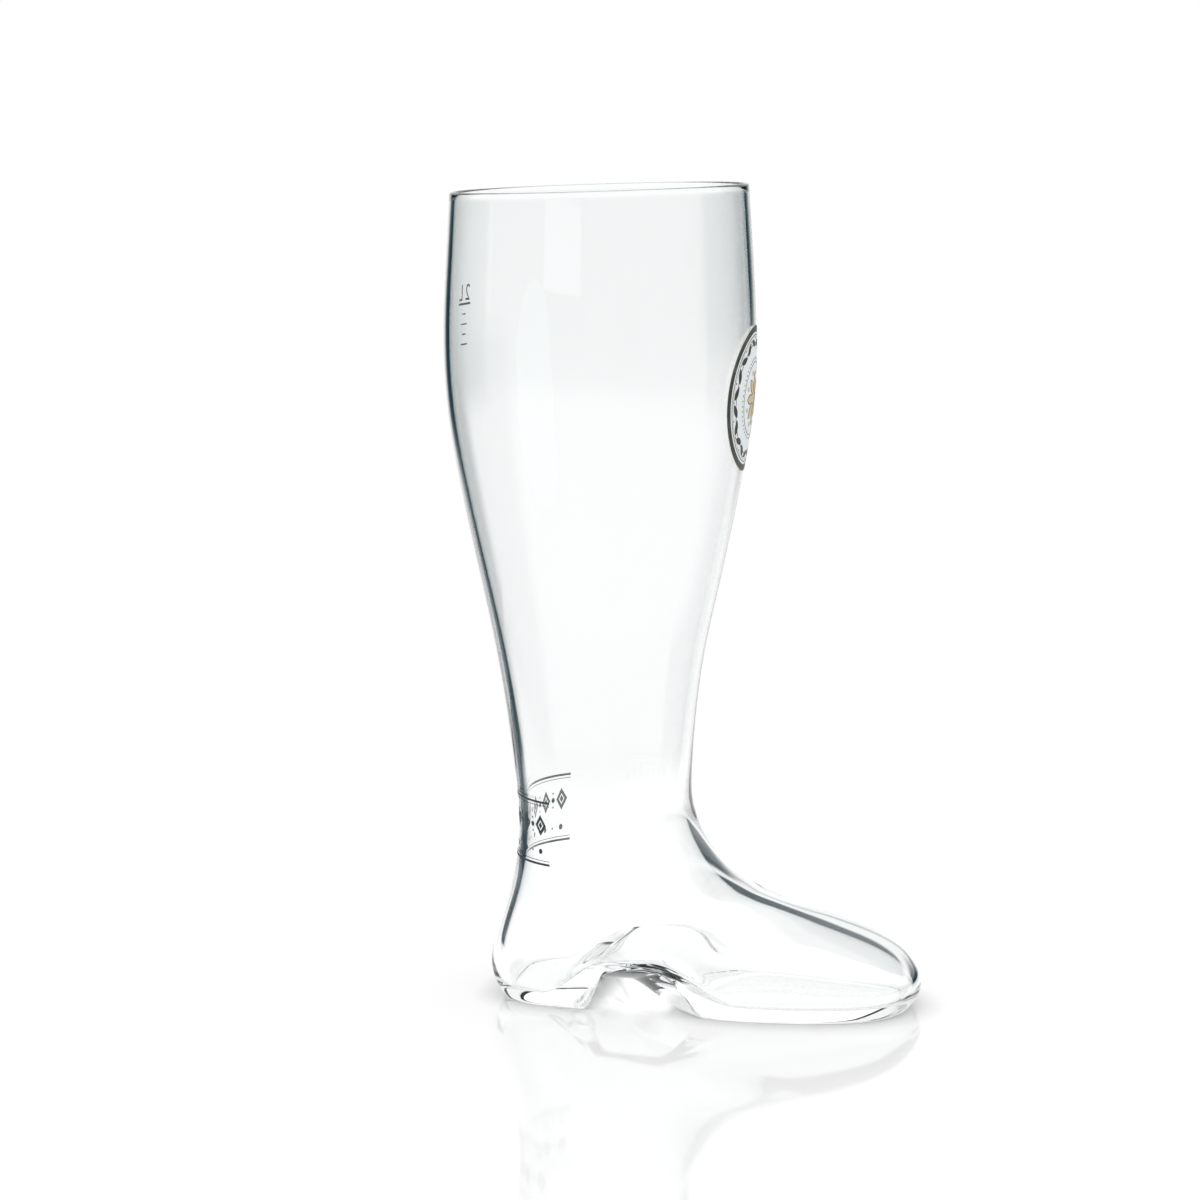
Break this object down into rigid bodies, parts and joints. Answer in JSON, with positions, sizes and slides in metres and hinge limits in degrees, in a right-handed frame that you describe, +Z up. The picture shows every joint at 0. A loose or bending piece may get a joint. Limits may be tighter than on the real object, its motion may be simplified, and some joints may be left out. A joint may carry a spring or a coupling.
{
  "type": "beer boot glass",
  "caption": "Tall drinking glass shaped like a riding boot, blown in clear glass with a flared calf, an arched sole and fired-on prints.",
  "frame": {"origin": "middle of the bounding box's bottom face, on the surface the glass stands on", "axes": "+X from the heel to the toe, +Z up to the rim, +Y to the wearer's left, square to the boot's plane of symmetry"},
  "size_m": [0.1994, 0.1282, 0.3378],
  "materials": {
    "clear_glass": "clear, smooth, with a faint cool tint",
    "pale_print": "fired enamel, satin",
    "green_print": "fired enamel, satin",
    "gold_print": "fired gold-coloured enamel, satin",
    "slate_print": "fired enamel, satin"
  },
  "bodies": {
    "root": {"glass_boot": "clear_glass", "badge_ground": "pale_print", "badge_wreath": "green_print", "badge_flower": "gold_print", "fill_mark": "slate_print", "ankle_band": "slate_print"}
  },
  "joints": []
}
